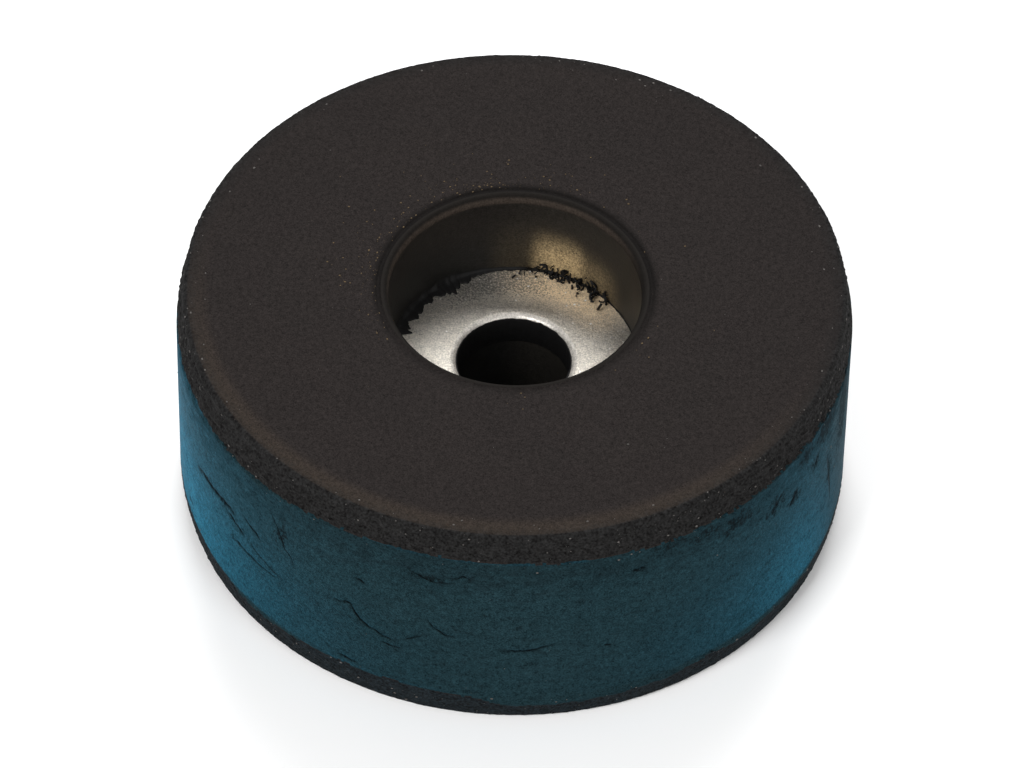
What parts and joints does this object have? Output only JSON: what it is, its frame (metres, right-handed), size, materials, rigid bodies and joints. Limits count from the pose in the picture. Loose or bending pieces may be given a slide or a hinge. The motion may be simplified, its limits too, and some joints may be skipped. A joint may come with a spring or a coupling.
{
  "type": "rubber foot",
  "caption": "Round rubber foot with a moulded-in steel washer at the bottom of its screw recess.",
  "frame": {"origin": "centre of the foot's flat mounting face, the one without the screw recess", "axes": "+Z along the foot's axis, out of the screw recess; +X and +Y lie in the mounting face and are alike"},
  "size_m": [0.038, 0.038, 0.015],
  "materials": {
    "rubber_body": "black moulded rubber: matt, fine-grained top face and gritty edges, satin side wall",
    "steel_washer": "zinc-plated, grainy and dull, with a bright rounded edge at the hole"
  },
  "bodies": {
    "root": {"rubber_body": "rubber_body", "steel_washer": "steel_washer"}
  },
  "joints": []
}
